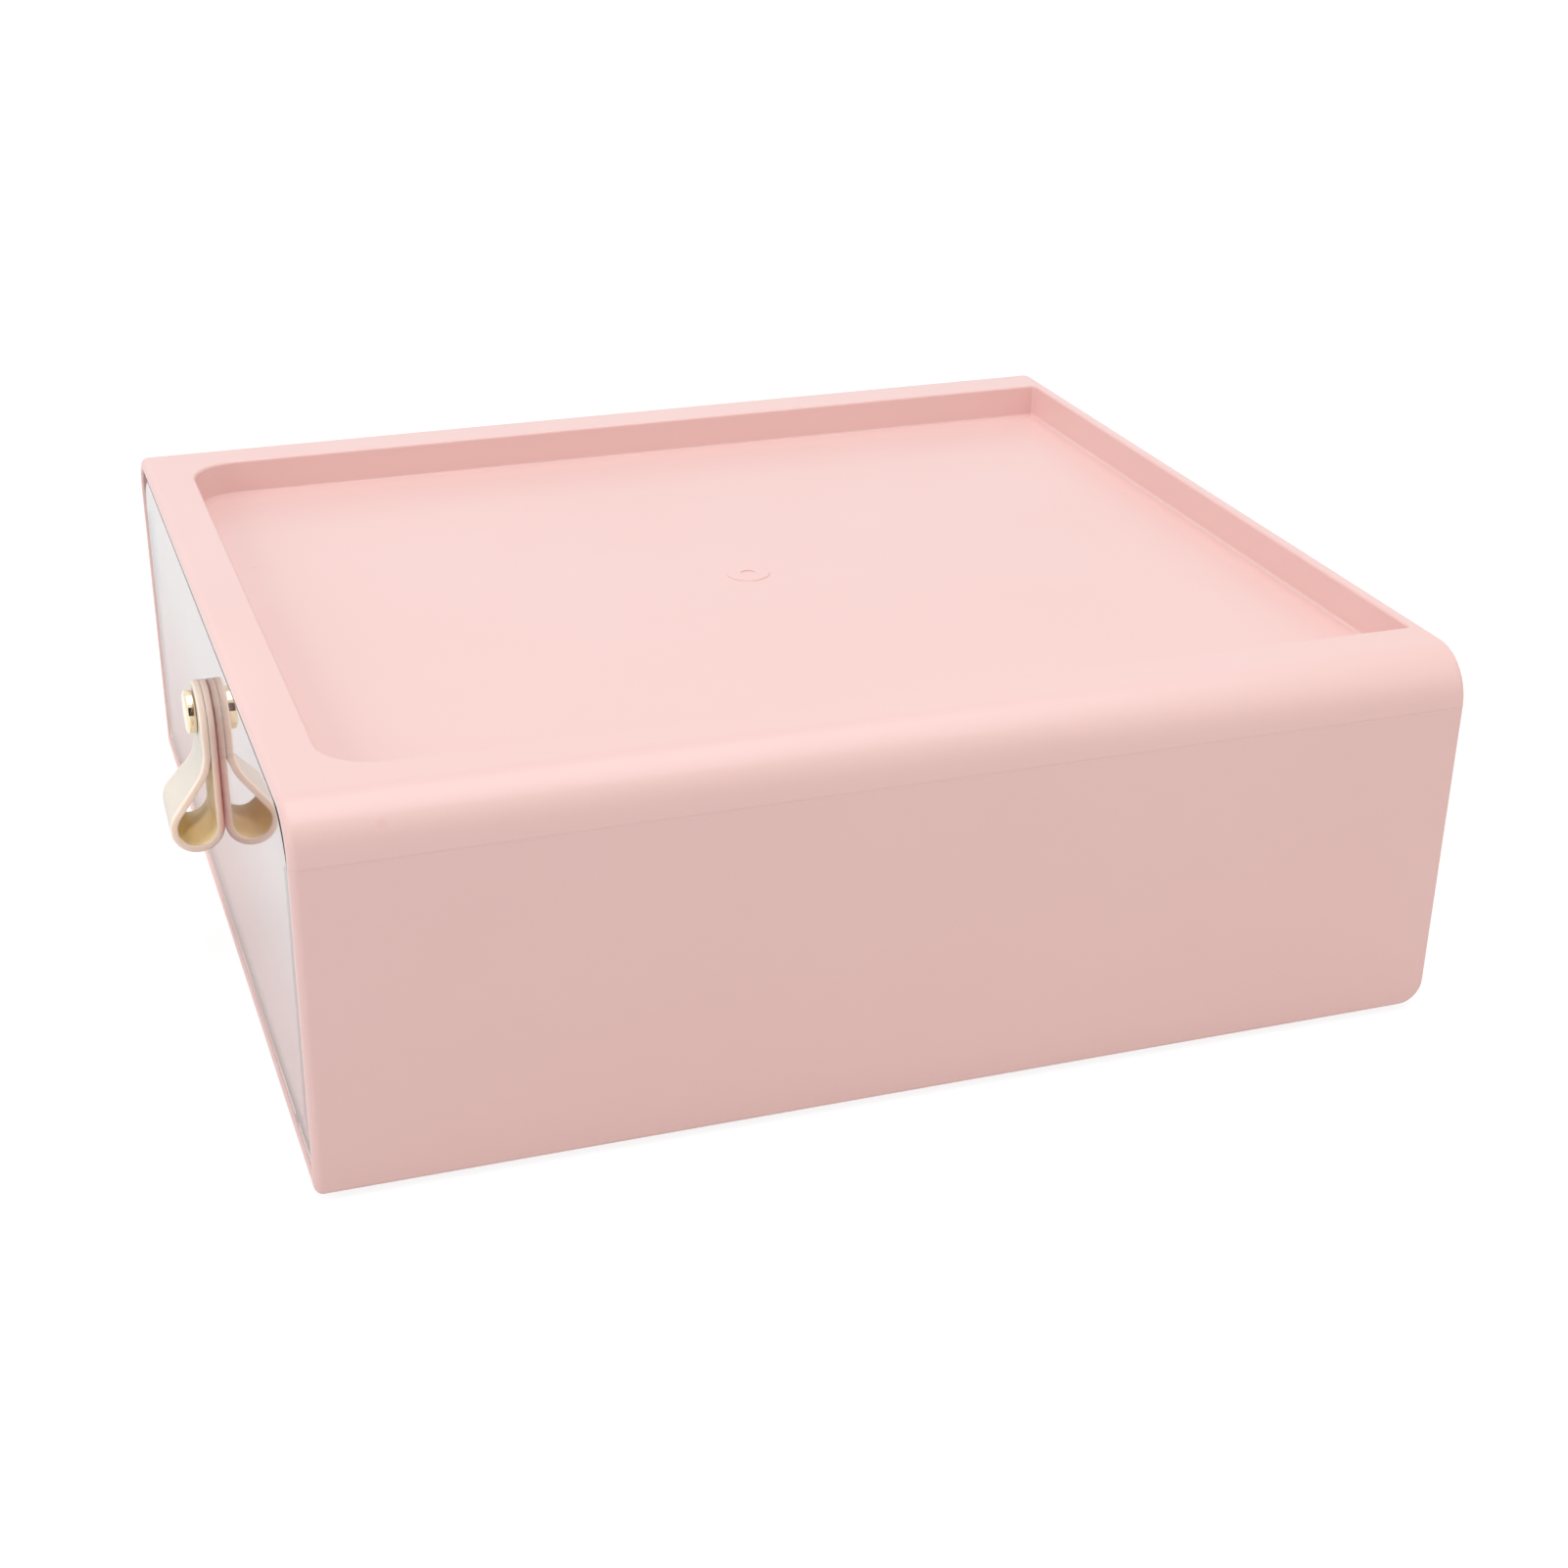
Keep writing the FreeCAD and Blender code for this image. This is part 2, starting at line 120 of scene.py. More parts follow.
# A cloudy pattern between 0 and 1.
def noiseAt(tree, place, noise):
    scale, detail = noise
    inputs = {"Vector": place, "Scale": scale, "Detail": detail}
    return addNode(tree, "ShaderNodeTexNoise", inputs).outputs["Fac"]


# Low to high becomes newLow to newHigh in a straight line, and goes no further.
def mapRange(tree, value, low, high, newLow, newHigh):
    inputs = {0: value, 1: low, 2: high, 3: newLow, 4: newHigh}
    return addNode(tree, "ShaderNodeMapRange", inputs, clamp=True).outputs[0]


# The normal leans by the slope of height x distance, on top of the normal that is given.
def addBump(tree, height, strength, distance, normal=None):
    inputs = {"Height": height, "Strength": strength, "Distance": distance}
    if normal is not None:
        inputs["Normal"] = normal
    return addNode(tree, "ShaderNodeBump", inputs).outputs["Normal"]


# The surface is (1 - share) x the first shader + share x the second.
def mixSurface(tree, share, first, second):
    inputs = {0: share, 1: first.outputs[0], 2: second.outputs[0]}
    mixed = addNode(tree, "ShaderNodeMixShader", inputs).outputs[0]
    tree.links.new(mixed, tree.nodes["Material Output"].inputs["Surface"])


# In the looks below, a noise is its features in a metre and its detail.
noiseSpan = (0.3, 0.7)  # most of a noise pattern's values lie in here

casePlasticLook = {
    "colour": (0.874, 0.594, 0.566, 1),
    "deepColour": (0.862, 0.579, 0.549, 1),
    "cloudNoise": (9.0, 3.0),
    "cloudSpan": (0.35, 0.65),
    "fleckColour": (0.80, 0.40, 0.38, 1),
    "fleckScale": 38.0,
    "fleckCells": 0.72,             # cells with a value above this have a fleck
    "fleckSize": (0.015, 0.05),     # from full to none, in cells
    "fleckShare": 0.25,
    "roughness": (0.30, 0.36),
    "smearNoise": (45.0, 4.0),
    "grainNoise": (1500.0, 2.0),
    "grainHeight": 0.012 * mm,
    "index": 1.5,
    "partingHeight": 75.4 * mm,
    "partingWidth": 0.42 * mm,
    "partingDepth": 0.09 * mm,
    "partingSide": 118.5 * mm,      # the line is outside this half width
    "partingRear": 126.0 * mm,      # and behind this
}


# Two shades blend by a broad noise, and a few flecks go over them. The height is a fine grain
# with a groove at the parting line: -(1 - distance from the line / width) x depth.
def makeCasePlastic(look):
    material, tree, shader, place = newMaterial("casePlastic")
    cloud = noiseAt(tree, place, look["cloudNoise"])
    share = mapRange(tree, cloud, *look["cloudSpan"], 0.0, 1.0)
    colour = mixColours(tree, share, look["colour"], look["deepColour"])
    inputs = {"Vector": place, "Scale": look["fleckScale"]}
    cells = addNode(tree, "ShaderNodeTexVoronoi", inputs).outputs
    chosen = mathNode(tree, "GREATER_THAN", cells["Color"], look["fleckCells"])
    spot = mapRange(tree, cells["Distance"], *look["fleckSize"], look["fleckShare"], 0.0)
    fleck = mathNode(tree, "MULTIPLY", spot, chosen)
    smear = noiseAt(tree, place, look["smearNoise"])

    axes = addNode(tree, "ShaderNodeSeparateXYZ", {0: place}).outputs
    fromLine = mathNode(tree, "SUBTRACT", axes["Z"], look["partingHeight"])
    fromLine = mathNode(tree, "ABSOLUTE", fromLine)
    groove = mapRange(tree, fromLine, 0.0, look["partingWidth"], -1.0, 0.0)
    beside = mathNode(tree, "ABSOLUTE", axes["X"])
    beside = mathNode(tree, "GREATER_THAN", beside, look["partingSide"])
    behind = mathNode(tree, "GREATER_THAN", axes["Y"], look["partingRear"])
    groove = mathNode(tree, "MULTIPLY", groove, mathNode(tree, "MAXIMUM", beside, behind))
    normal = addBump(tree, groove, 1.0, look["partingDepth"])
    grain = noiseAt(tree, place, look["grainNoise"])
    fillInputs(tree, shader, {
        "Base Color": mixColours(tree, fleck, colour, look["fleckColour"]),
        "Roughness": mapRange(tree, smear, *noiseSpan, *look["roughness"]),
        "Normal": addBump(tree, grain, 1.0, look["grainHeight"], normal),
        "IOR": look["index"],
    })
    return material


clearPlasticLook = {
    "colour": (0.97, 0.92, 0.93, 1),
    "roughness": (0.015, 0.03),
    "smearNoise": (30.0, 4.0),
    "smearSpan": (0.35, 0.75),
    "index": 1.53,
    "passing": (0.93, 0.89, 0.90, 1),
    # near black: painted shade of the gap round the panel, put on the panel's edge
    "gapShadeColour": (0.010, 0.004, 0.004, 1),
    "cornerCentre": (100.9 * mm, 68.1 * mm),
    "rimRadius": 14.45 * mm,
    "panelBack": -124.0 * mm,
}


# The panel's edge is painted near black where hypot(|x| - centre, z - centre) is above the rim's
# radius,
# with no part of it below 0: a painted shade of the gap round the panel. Light from the lamps and
# the studio goes straight through the walls.
def makeClearPlastic(look):
    material, tree, shader, place = newMaterial("clearPlastic")
    axes = addNode(tree, "ShaderNodeSeparateXYZ", {0: place}).outputs
    fromMiddle = mathNode(tree, "ABSOLUTE", axes["X"])
    squares = []
    for value, centre in zip((fromMiddle, axes["Z"]), look["cornerCentre"]):
        past = mathNode(tree, "MAXIMUM", mathNode(tree, "SUBTRACT", value, centre), 0.0)
        squares.append(mathNode(tree, "MULTIPLY", past, past))
    reach = mathNode(tree, "ADD", *squares)
    onEdge = mathNode(tree, "GREATER_THAN", reach, look["rimRadius"] ** 2)
    onPanel = mathNode(tree, "LESS_THAN", axes["Y"], look["panelBack"])
    # painted shade of the gap round the panel, on the panel's own edge band
    paintedGapShade = mathNode(tree, "MULTIPLY", onEdge, onPanel)
    smear = noiseAt(tree, place, look["smearNoise"])
    fillInputs(tree, shader, {
        "Base Color": mixColours(tree, paintedGapShade, look["colour"], look["gapShadeColour"]),
        "Roughness": mapRange(tree, smear, *look["smearSpan"], *look["roughness"]),
        "Transmission Weight": 1.0,
        "IOR": look["index"],
    })
    path = addNode(tree, "ShaderNodeLightPath").outputs
    through = mathNode(tree, "MAXIMUM", path["Is Shadow Ray"], path["Is Diffuse Ray"])
    passing = addNode(tree, "ShaderNodeBsdfTransparent", {"Color": look["passing"]})
    mixSurface(tree, through, shader, passing)
    return material


strapLook = {
    "faceColour": (0.690, 0.650, 0.600, 1),
    "insideColour": (0.985, 0.815, 0.510, 1),
    "cloudNoise": (160.0, 3.0),
    "cloudShare": 0.12,
    "edgeColour": (0.890, 0.745, 0.650, 1),
    # painted pink shade on the cut edge where it meets the panel, below the stud
    "panelShadeColour": (0.880, 0.470, 0.410, 1),
    "panelShadeSpan": (-128.6 * mm, -127.4 * mm),
    "panelShadeHeights": (48.0 * mm, 64.0 * mm),
    "panelShadeShares": (1.0, 0.25),
    "roughness": (0.42, 0.58),
    "pebbleScale": 900.0,
    "fineNoise": (1800.0, 3.0),
    "fineShare": 0.5,
    "grainHeight": 0.04 * mm,
    "grainStrength": 0.6,
    "translucency": 0.6,
    "glowDepth": 2.0 * mm,
    "glowSpread": (1.0, 0.9, 0.8),
}


# The marks of the strap's mesh choose between the colours of its faces, inside and cut edge. The
# cut edge has a painted pink shade towards the panel, below the stud. The height is pebbles + fine
# noise.
def makeStrapLeather(look):
    material, tree, shader, place = newMaterial("strapLeather")
    edge, inside = [addNode(tree, "ShaderNodeAttribute", attribute_name=name).outputs["Fac"]
                    for name in ("cutEdge", "insideFace")]
    cloud = noiseAt(tree, place, look["cloudNoise"])
    share = mapRange(tree, cloud, *noiseSpan, 0.0, look["cloudShare"])
    colour = mixColours(tree, share, look["faceColour"], look["insideColour"])
    colour = mixColours(tree, inside, colour, look["insideColour"])
    axes = addNode(tree, "ShaderNodeSeparateXYZ", {0: place}).outputs
    # painted pink shade: the cut edge turns darker and pinker near the panel, most below the stud
    panelShade = mapRange(tree, axes["Y"], *look["panelShadeSpan"], 0.0, 1.0)
    low = mapRange(tree, axes["Z"], *look["panelShadeHeights"], *look["panelShadeShares"])
    panelShade = mathNode(tree, "MULTIPLY", panelShade, low)
    edgeColour = mixColours(tree, panelShade, look["edgeColour"], look["panelShadeColour"])
    inputs = {"Vector": place, "Scale": look["pebbleScale"]}
    pebbles = addNode(tree, "ShaderNodeTexVoronoi", inputs, feature="SMOOTH_F1")
    fine = noiseAt(tree, place, look["fineNoise"])
    height = mathNode(tree, "MULTIPLY", fine, look["fineShare"])
    height = mathNode(tree, "ADD", pebbles.outputs["Distance"], height)
    fillInputs(tree, shader, {
        "Base Color": mixColours(tree, edge, colour, edgeColour),
        "Roughness": mapRange(tree, fine, *noiseSpan, *look["roughness"]),
        "Normal": addBump(tree, height, look["grainStrength"], look["grainHeight"]),
        "Subsurface Weight": look["translucency"],
        "Subsurface Radius": look["glowSpread"],
        "Subsurface Scale": look["glowDepth"],
    })
    return material


studLook = {
    "colour": (0.93, 0.80, 0.56, 1),
    "metallic": 1.0,
    "roughness": (0.06, 0.12),
    "speckNoise": (700.0, 3.0),
}

steelLook = {
    "colour": (0.62, 0.63, 0.65, 1),
    "darker": 0.8,
    "metallic": 1.0,
    "roughness": (0.22, 0.40),
    "speckNoise": (900.0, 2.0),
}

padLook = {
    "colour": (0.62, 0.60, 0.60, 1),
    "darker": 0.85,
    "metallic": 0.0,
    "roughness": (0.55, 0.75),
    "speckNoise": (800.0, 3.0),
    "grainHeight": 0.03 * mm,
    "grainStrength": 0.5,
}


# One fine noise sets the roughness. It also blends the colour with a darker one, and is the
# height of the grain, where the look has them.
def makeSpeckled(name, look):
    material, tree, shader, place = newMaterial(name)
    speck = noiseAt(tree, place, look["speckNoise"])
    inputs = {
        "Base Color": look["colour"],
        "Metallic": look["metallic"],
        "Roughness": mapRange(tree, speck, *noiseSpan, *look["roughness"]),
    }
    if "darker" in look:
        share = mapRange(tree, speck, *noiseSpan, 0.0, 1.0)
        darker = tuple(look["darker"] * part for part in look["colour"][:3]) + (1,)
        inputs["Base Color"] = mixColours(tree, share, look["colour"], darker)
    if "grainHeight" in look:
        inputs["Normal"] = addBump(tree, speck, look["grainStrength"], look["grainHeight"])
    fillInputs(tree, shader, inputs)
    return material


casePlastic = makeCasePlastic(casePlasticLook)
clearPlastic = makeClearPlastic(clearPlasticLook)
strapLeather = makeStrapLeather(strapLook)
studMetal = makeSpeckled("studMetal", studLook)
zincSteel = makeSpeckled("zincSteel", steelLook)
padRubber = makeSpeckled("padRubber", padLook)
print("materials made")


nodeShading = {
    "joinGap": 0.002 * mm,
    "sharpAngle": radians(28),
    "evenWeight": 50,
}


# Faces are shaded smooth, and an edge is sharp where the angle between its faces is above the
# angle given.
def makeSmoother(angle):
    tree = bpy.data.node_groups.new("smoothBelowAngle", "GeometryNodeTree")
    for way in ("INPUT", "OUTPUT"):
        tree.interface.new_socket("Geometry", in_out=way, socket_type="NodeSocketGeometry")
    source = tree.nodes.new("NodeGroupInput").outputs[0]
    inputs = {"Geometry": source, "Shade Smooth": True}
    smooth = addNode(tree, "GeometryNodeSetShadeSmooth", inputs, domain="FACE")
    edgeAngle = tree.nodes.new("GeometryNodeInputMeshEdgeAngle").outputs[0]
    inputs = {0: edgeAngle, 1: angle}
    isSharp = addNode(tree, "FunctionNodeCompare", inputs, operation="GREATER_THAN")
    inputs = {"Geometry": smooth.outputs[0], "Selection": isSharp.outputs[0], "Shade Smooth": False}
    sharp = addNode(tree, "GeometryNodeSetShadeSmooth", inputs, domain="EDGE")
    addNode(tree, "NodeGroupOutput", {0: sharp.outputs[0]})
    return tree


smoother = makeSmoother(nodeShading["sharpAngle"])


# The frame's meshes are loose triangles: their points are joined before they are shaded, and
# large faces lead the normals.
def dressNode(name, material, shading):
    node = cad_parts[name]
    node.data.materials.clear()
    node.data.materials.append(material)
    weld = node.modifiers.new("joinTriangles", "WELD")
    weld.merge_threshold = shading["joinGap"]
    shade = node.modifiers.new("smoothBelowAngle", "NODES")
    shade.node_group = smoother
    even = node.modifiers.new("evenNormals", "WEIGHTED_NORMAL")
    even.keep_sharp = True
    even.weight = shading["evenWeight"]


dressNode("case_shell", casePlastic, nodeShading)
dressNode("drawer", clearPlastic, nodeShading)
dressNode("handle_washer", zincSteel, nodeShading)
dressNode("handle_screw", zincSteel, nodeShading)
for corner in ("front_left", "front_right", "rear_left", "rear_right"):
    dressNode("foot_" + corner, padRubber, nodeShading)
print("moulded parts dressed")


strapShape = {
    "width": 19.5,
    "thickness": 1.7,
    "endCorner": 9.2,
    "endCrown": 0.004,      # keeps the triangles at the straight ends from being flat lines
    "rimRadius": 0.42,
    "contactRim": 0.04,
    "top": 67.0,
    "backFace": -127.11,
    "layerGap": 0.1,
    "loopHeight": 35.1,
    "loopRadius": 5.45,
    "flare": radians(36),
    "bendRadius": 12.9,
    "studHeight": 60.2,
    "holeRadius": 2.7,
    "holeFront": 4.5,       # the cutter's reach from the back face
    "holeRear": 1.0,
    "farSideLean": 0.6,
    "leanRange": (5.0, 8.0),    # the lean starts this far from the back face, and its run
    "farSideDrop": 3.0,
    "dropFoot": (39.0, 10.0),   # the drop starts at this height, and its run upwards
    "dropHead": (66.0, 8.0),    # it ends at this height, and its run downwards
    "stationGap": 0.35,
    "lineSteps": 20000,
    "cornerTurns": ((0, 12, 6), (12, 90, 21)),  # degrees from, to and steps
    "rimSteps": 5,
    "acrossSteps": 25,
    "holeSteps": 48,
    "holeSharp": radians(40),
}


# The strap's line seen from the side. It starts at the top, heading down, and its heading turns
# evenly round the loop and back round the bend. The sum of the heading gives the place.
def strapLine(shape):
    middleY = shape["backFace"] - shape["thickness"] / 2
    loopY = middleY - shape["loopRadius"]
    outerY = shape["backFace"] - 1.5 * shape["thickness"] - shape["layerGap"]
    flare, bend, loop = shape["flare"], shape["bendRadius"], shape["loopRadius"]
    flareRun = outerY - bend + bend * cos(flare) - loopY + loop * cos(flare)
    loopTop = shape["loopHeight"] + loop * sin(flare)
    bendHeight = loopTop + flareRun / tan(flare) + bend * sin(flare)
    lengths = [
        shape["top"] - shape["loopHeight"],
        loop * (pi + flare),
        flareRun / sin(flare),
        bend * flare,
        shape["top"] - bendHeight,
    ]
    knots = np.concatenate([[0.0], np.cumsum(lengths)])
    headings = np.array([0.0, 0.0, pi + flare, pi + flare, pi, pi])
    along = np.linspace(0, knots[-1], shape["lineSteps"] + 1)
    heading = np.interp(along, knots, headings)
    step = along[1] - along[0]
    middle = (heading[1:] + heading[:-1]) / 2
    y = middleY + np.concatenate([[0], np.cumsum(-np.sin(middle) * step)])
    z = shape["top"] + np.concatenate([[0], np.cumsum(-np.cos(middle) * step)])
    return along, heading, y, z


# One side of the flat strap's outline, as places along and across it and the two parts of its
# normal: a straight end, a corner of corner x (1 - cos, sin), the long side and back.
def strapOutline(shape, total):
    corner, crown, halfWidth = shape["endCorner"], shape["endCrown"], shape["width"] / 2
    turns = [np.linspace(start, end, steps + 1)[1:] for start, end, steps in shape["cornerTurns"]]
    turn = np.radians(np.concatenate(turns))
    arcS, arcB = corner - corner * np.cos(turn), halfWidth - corner + corner * np.sin(turn)
    arcS = arcS + crown * (1 - arcS / corner)
    count = int((total - 2 * corner) / shape["stationGap"])
    straight = np.linspace(corner, total - corner, count + 1)[1:-1]
    zero, one = np.zeros_like(straight), np.ones_like(straight)
    startS, endS = [0, crown], [total - crown, total]
    startB, endB = [0, halfWidth - corner], [halfWidth - corner, 0]
    outlineS = np.concatenate([startS, arcS, straight, (total - arcS)[::-1], endS])
    outlineB = np.concatenate([startB, arcB, halfWidth * one, arcB[::-1], endB])
    normalS = np.concatenate([[-1, -1], -np.cos(turn), zero, np.cos(turn)[::-1], [1, 1]])
    normalB = np.concatenate([[0, 0], np.sin(turn), one, np.sin(turn)[::-1], [0, 0]])
    return outlineS, outlineB, normalS, normalB


# The flat strap is a ladder of rings, each at outline - normal x inset. A ring goes over one
# face, round one edge, back under the other face and round the other edge. Its points then go
# to line + height x the line's own normal, which bends the strap along its line.
def makeStrap(shape):
    along, heading, lineY, lineZ = strapLine(shape)
    total, halfWidth, half = along[-1], shape["width"] / 2, shape["thickness"] / 2
    outlineS, outlineB, normalS, normalB = strapOutline(shape, total)
    tilt = np.radians(np.linspace(90, 0, shape["rimSteps"] + 1))
    outer, contact = [(radius - radius * np.cos(tilt), half - radius + radius * np.sin(tilt))
                      for radius in (shape["rimRadius"], shape["contactRim"])]
    inset = np.concatenate([outer[0], contact[0][::-1]])
    rise = np.concatenate([outer[1], -contact[1][::-1]])
    across = np.linspace(-1, 1, shape["acrossSteps"] + 1)[1:-1]

    rightS = outlineS[:, None] - normalS[:, None] * inset
    rightB = outlineB[:, None] - normalB[:, None] * inset
    faceS = np.repeat(rightS[:, :1], len(across), axis=1)
    backS = np.repeat(rightS[:, -1:], len(across), axis=1)
    faceB, backB = rightB[:, :1] * across, rightB[:, -1:] * across[::-1]
    ringS = np.concatenate([faceS, rightS, backS, rightS[:, ::-1]], axis=1)
    ringB = np.concatenate([faceB, rightB, backB, -rightB[:, ::-1]], axis=1)
    flatRise = np.full(len(across), half)
    ringH = np.concatenate([flatRise, rise, -flatRise, rise[::-1]])
    turned = np.interp(ringS, along, heading)
    y = np.interp(ringS, along, lineY) + np.cos(turned) * ringH
    z = np.interp(ringS, along, lineZ) - np.sin(turned) * ringH

    # the far side of the loop stands out a little less
    farShare = (halfWidth - ringB) / (2 * halfWidth)
    leanStart, leanRun = shape["leanRange"]
    loopShare = np.clip((shape["backFace"] - leanStart - y) / leanRun, 0, 1)
    y = y + shape["farSideLean"] * loopShare * farShare
    # on the far side the front layer leaves the back one lower down
    foot, footRun = shape["dropFoot"]
    head, headRun = shape["dropHead"]
    bendShare = np.clip((z - foot) / footRun, 0, 1) * np.clip((head - z) / headRun, 0, 1)
    z = z - shape["farSideDrop"] * (ringS > total / 2) * bendShare * farShare

    points = np.stack([ringB, y, z], axis=-1).reshape(-1, 3)
    onFace, onRim = np.zeros(len(across)), np.ones(len(inset))
    cutEdge = np.concatenate([onFace, onRim, onFace, onRim])
    insideFace = np.concatenate([onFace, 0 * onRim, onFace + 1, 0 * onRim])
    marks = {
        "cutEdge": np.tile(cutEdge, len(outlineS)),
        "insideFace": np.tile(insideFace, len(outlineS)),
    }
    return makePiece("strap", points, ringFaces(*ringB.shape), strapLeather, marks=marks)


# Cuts the stud's hole from front to rear. The cutter is a circle, height + radius x sin and
# radius x cos, carried from front to rear and closed by two fans.
def cutStrapHole(piece, shape):
    angle = np.linspace(0, 2 * pi, shape["holeSteps"], endpoint=False)
    radius = shape["holeRadius"]
    reach = np.array([0, radius, radius, 0])[:, None]
    x, z = reach * np.cos(angle), shape["studHeight"] + reach * np.sin(angle)
    front, rear = shape["backFace"] - shape["holeFront"], shape["backFace"] + shape["holeRear"]
    y = np.array([front, front, rear, rear])[:, None] + 0 * angle
    points = np.stack([x, y, z], axis=-1).reshape(-1, 3)
    cutter = makePiece("cutter", points, ringFaces(*x.shape), strapLeather, shape["holeSharp"])
    cut = piece.modifiers.new("hole", "BOOLEAN")
    cut.operation, cut.solver, cut.object = "DIFFERENCE", "EXACT", cutter
    bpy.context.view_layer.update()
    whole = piece.evaluated_get(bpy.context.evaluated_depsgraph_get())
    mesh = bpy.data.meshes.new_from_object(whole)
    piece.modifiers.clear()
    piece.data = mesh
    bpy.data.objects.remove(cutter)


strap = makeStrap(strapShape)
cutStrapHole(strap, strapShape)
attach(strap, "strap")
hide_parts("handle_strap")
print("strap made")


studShape = {
    "height": 60.2,
    "headBack": -130.8,
    "headDepth": 2.2,
    "headRadius": 5.1,
    "bevel": 0.5,
    "crown": 0.12,
    "domeEdge": 0.92,       # shares of the flat's radius
    "crownEdge": 0.96,
    "shankRadius": 2.5,
    "shankEnd": -124.4,
    "boreRadius": 1.55,
    "boreBottom": 1.2,
    "ease": 0.16,
    "easeMost": 0.45,       # share of a side that one corner may take
    "easeSteps": 4,
    "domeSteps": 7,
    "turns": 96,
    "sharpAngle": radians(60),
}


# Rounds the corners of a line of (radius, depth) points: a corner becomes the curve
# (1 - t)^2 x start + 2t(1 - t) x corner + t^2 x finish, whose ends lie one ease away from it.
def easeCorners(corners, shape):
    corners = np.array(corners, float)
    share = np.linspace(0, 1, shape["easeSteps"] + 1)[:, None]
    rounded = [corners[:1]]
    for before, corner, after in zip(corners[:-2], corners[1:-1], corners[2:]):
        start, finish = [
            corner + (end - corner)
            * min(shape["easeMost"], shape["ease"] / np.linalg.norm(end - corner))
            for end in (before, after)]
        curve = (1 - share) ** 2 * start + 2 * share * (1 - share) * corner + share ** 2 * finish
        rounded.append(curve)
    rounded.append(corners[-1:])
    return np.concatenate(rounded)


# The stud is its side line turned about its own axis, which runs from front to back. Its crown
# is a depth of crown x (radius / flat)^2.
def makeStud(shape):
    front = shape["headBack"] - shape["headDepth"]
    flat = shape["headRadius"] - shape["bevel"]
    domeRadius = np.linspace(0, flat * shape["domeEdge"], shape["domeSteps"] + 1)
    domeDepth = front + shape["crown"] * (domeRadius / flat) ** 2
    boreEnd = front + shape["boreBottom"]
    rest = easeCorners([
        (flat * shape["crownEdge"], front + shape["crown"]),
        (flat, front + shape["crown"]),
        (shape["headRadius"], front + shape["bevel"]),
        (shape["headRadius"], shape["headBack"]),
        (shape["shankRadius"], shape["headBack"]),
        (shape["shankRadius"], shape["shankEnd"]),
        (shape["boreRadius"], shape["shankEnd"]),
        (shape["boreRadius"], boreEnd),
        (0, boreEnd),
    ], shape)
    line = np.concatenate([np.stack([domeRadius, domeDepth], axis=-1), rest])
    angle = np.linspace(0, 2 * pi, shape["turns"], endpoint=False)
    x = line[:, :1] * np.sin(angle)
    z = shape["height"] + line[:, :1] * np.cos(angle)
    y = np.repeat(line[:, 1:], len(angle), axis=1)
    points = np.stack([x, y, z], axis=-1).reshape(-1, 3)
    return makePiece("stud", points, ringFaces(*x.shape), studMetal, shape["sharpAngle"])


stud = makeStud(studShape)
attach(stud, "drawer")
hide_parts("handle_stud")
print("stud made")


stageLook = {
    "floorSize": 6.0,
    "floorColour": (0.80, 0.80, 0.80, 1),
    "floorLit": (0.22, 0.22, 0.22, 1),
    "floorGlow": 0.86,
    # painted pink bounce light and shadow on the floor by the box, seen in reflections and through
    # clear plastic
    "paintedBounceGlow": (0.81, 0.66, 0.63, 1),
    "paintedBounceSpan": (-144 * mm, -127 * mm),     # from none to full, front to rear
    "worldLight": 0.53,
    "darkEnd": (1.0, 0.0, 0.10),
    "darkSpread": (radians(39), radians(36)),
    "darkness": 0.95,
}


# One where the ray comes from the camera, a mirror reflection or clear plastic.
def seenDirectly(tree):
    path = addNode(tree, "ShaderNodeLightPath").outputs
    seen = mathNode(tree, "MAXIMUM", path["Is Camera Ray"], path["Is Glossy Ray"])
    return mathNode(tree, "MAXIMUM", seen, path["Is Transmission Ray"])


# Where it is seen directly, the floor is its glow + a little of the light that falls on it, so
# it is white with a faint shadow. From just before the box's front to the rear, its glow holds a
# painted pink bounce light and shadow, for all rays but the camera's. To other rays it is a plain
# pale floor.
def makeFloor(look):
    size = look["floorSize"]
    points = [(-size, -size, 0), (size, -size, 0), (size, size, 0), (-size, size, 0)]
    mesh = bpy.data.meshes.new("floor")
    mesh.from_pydata(points, [], [(0, 1, 2, 3)])
    floor = bpy.data.objects.new("floor", mesh)
    scene.collection.objects.link(floor)
    material, tree, shader, place = newMaterial("floorPaper")
    tree.nodes.remove(shader)
    plain = addNode(tree, "ShaderNodeBsdfDiffuse", {"Color": look["floorColour"]})
    lit = addNode(tree, "ShaderNodeBsdfDiffuse", {"Color": look["floorLit"]})
    axes = addNode(tree, "ShaderNodeSeparateXYZ", {0: place}).outputs
    camera = addNode(tree, "ShaderNodeLightPath").outputs["Is Camera Ray"]
    # painted pink bounce light and shadow, kept from camera rays
    paintedBounce = mapRange(tree, axes["Y"], *look["paintedBounceSpan"], 0.0, 1.0)
    paintedBounce = mathNode(tree, "SUBTRACT", paintedBounce, camera, clamp=True)
    colour = mixColours(tree, paintedBounce, (1, 1, 1, 1), look["paintedBounceGlow"])
    glow = addNode(tree, "ShaderNodeEmission", {"Color": colour, "Strength": look["floorGlow"]})
    shown = addNode(tree, "ShaderNodeAddShader", {0: lit.outputs[0], 1: glow.outputs[0]})
    mixSurface(tree, seenDirectly(tree), plain, shown)
    mesh.materials.append(material)


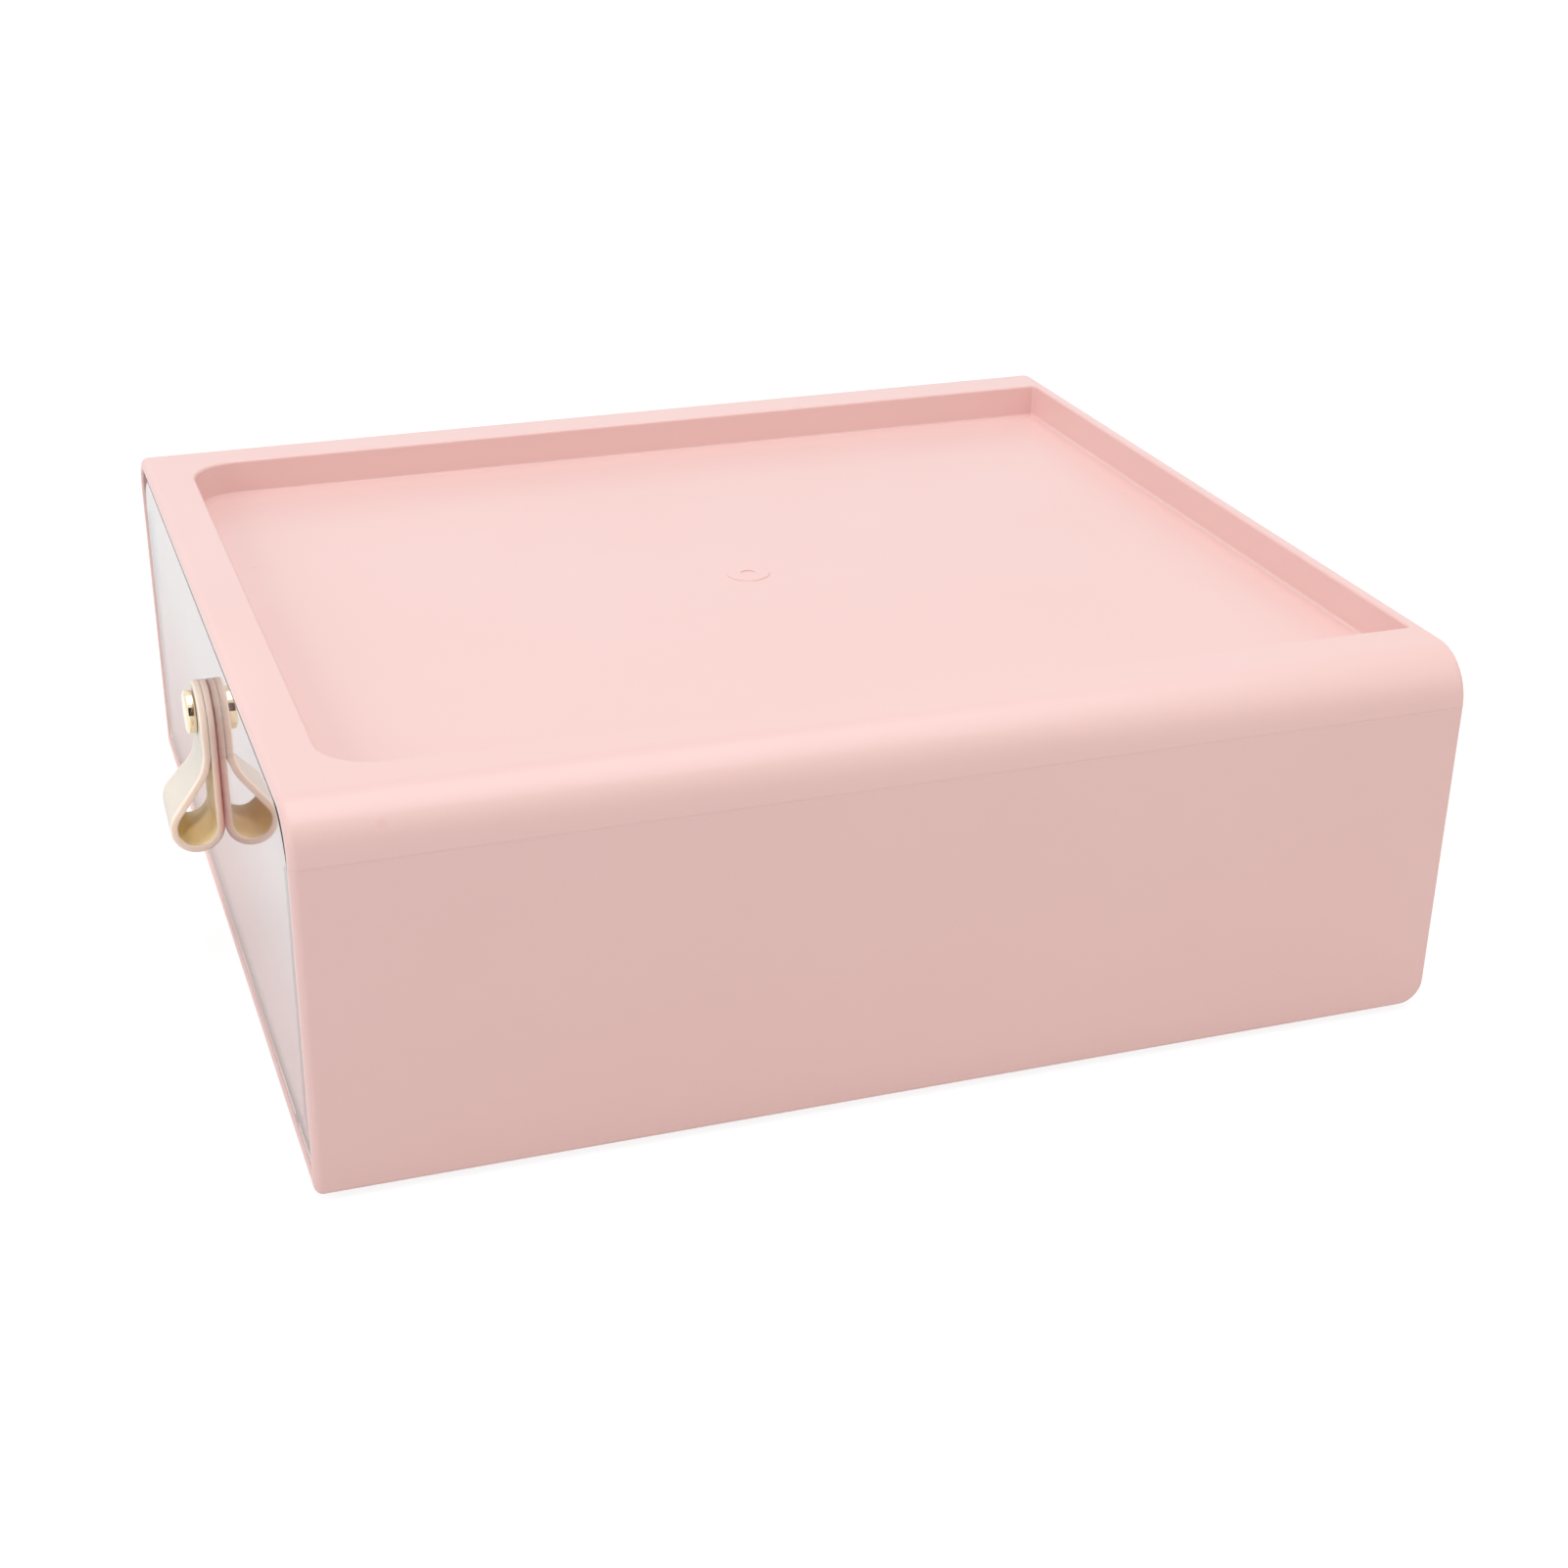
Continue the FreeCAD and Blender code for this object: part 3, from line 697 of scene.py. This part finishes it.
# The world is white where it is seen directly and dimmer as a light. For mirror reflections it
# is darker towards its dark end, by the angle between the two directions.
def makeWorld(look):
    world = bpy.data.worlds.new("studio")
    scene.world = world
    world.use_nodes = True
    tree = world.node_tree
    strength = mapRange(tree, seenDirectly(tree), 0.0, 1.0, look["worldLight"], 1.0)
    direction = addNode(tree, "ShaderNodeTexCoord").outputs["Generated"]
    inputs = {0: direction, 1: Vector(look["darkEnd"]).normalized()}
    towards = addNode(tree, "ShaderNodeVectorMath", inputs, operation="DOT_PRODUCT")
    spread = [cos(angle) for angle in look["darkSpread"]]
    dark = mapRange(tree, towards.outputs["Value"], *spread, 0.0, look["darkness"])
    glossy = addNode(tree, "ShaderNodeLightPath").outputs["Is Glossy Ray"]
    light = mathNode(tree, "SUBTRACT", 1.0, mathNode(tree, "MULTIPLY", dark, glossy))
    strength = mathNode(tree, "MULTIPLY", strength, light)
    inputs = {"Color": (1, 1, 1, 1), "Strength": strength}
    fillInputs(tree, tree.nodes["Background"], inputs)


boxMiddle = (0.0, 0.0, 0.05)

lamps = {
    "above": {
        "place": (0.1, 0.0, 1.5),
        "aim": boxMiddle,
        "size": 1.4,
        "power": 12.2,
        "colour": (0.93, 0.99, 1.0),
        "mirrored": True,
    },
    "front": {
        "place": (0.3, -1.6, 0.9),
        "aim": boxMiddle,
        "size": 1.0,
        "power": 8.0,
        "colour": (1.0, 0.99, 0.98),
        "mirrored": False,
    },
    "side": {
        "place": (0.65, 0.45, 0.35),
        "aim": boxMiddle,
        "size": 0.4,
        "power": 0.53,
        "colour": (1.0, 0.74, 0.58),
        "mirrored": False,
    },
    "handle": {
        "place": (0.60, -0.35, 0.40),
        "aim": (0.0, -0.138, 0.042),
        "size": 0.02,
        "cone": radians(4.6),
        "blend": 0.6,
        "power": 10.0,
        "colour": (1.0, 0.85, 0.74),
        "mirrored": False,
    },
}


# A lamp with a cone is a spot lamp, the others are square. It looks along aim - place.
def makeLamp(name, lamp):
    if "cone" in lamp:
        light = bpy.data.lights.new(name, "SPOT")
        light.shadow_soft_size = lamp["size"]
        light.spot_size = lamp["cone"]
        light.spot_blend = lamp["blend"]
    else:
        light = bpy.data.lights.new(name, "AREA")
        light.shape = "SQUARE"
        light.size = lamp["size"]
    light.energy = lamp["power"]
    light.color = lamp["colour"]
    holder = bpy.data.objects.new(name, light)
    holder.location = lamp["place"]
    holder.visible_glossy = lamp["mirrored"]
    aim = Vector(lamp["aim"]) - holder.location
    holder.rotation_euler = aim.to_track_quat("-Z", "Y").to_euler()
    scene.collection.objects.link(holder)


cameraView = {
    "place": (0.55335, -0.18260, 0.29260),
    "azimuth": radians(71.835),
    "elevation": radians(26.203),
    "focal": 2604.444,
    "centre": (743.11, 862.251),
    "imageSize": 1601,
    "sensorWidth": 36.0,
    "clipStart": 0.01,
}


# The camera looks back along (sin azimuth x cos elevation, -cos azimuth x cos elevation, sin
# elevation). Its focal length and centre are in pixels of the square picture.
def makeCamera(view):
    camera = bpy.data.cameras.new("camera")
    camera.sensor_width = view["sensorWidth"]
    camera.lens = view["focal"] / view["imageSize"] * view["sensorWidth"]
    camera.shift_x = 0.5 - view["centre"][0] / view["imageSize"]
    camera.shift_y = view["centre"][1] / view["imageSize"] - 0.5
    camera.clip_start = view["clipStart"]
    holder = bpy.data.objects.new("camera", camera)
    azimuth, elevation = view["azimuth"], view["elevation"]
    back = Vector((sin(azimuth) * cos(elevation), -cos(azimuth) * cos(elevation), sin(elevation)))
    holder.location = view["place"]
    holder.rotation_mode = "QUATERNION"
    holder.rotation_quaternion = (-back).to_track_quat("-Z", "Y")
    scene.collection.objects.link(holder)
    scene.camera = holder


makeFloor(stageLook)
makeWorld(stageLook)
for name, lamp in lamps.items():
    makeLamp(name, lamp)
makeCamera(cameraView)
print("stage, light and camera made")
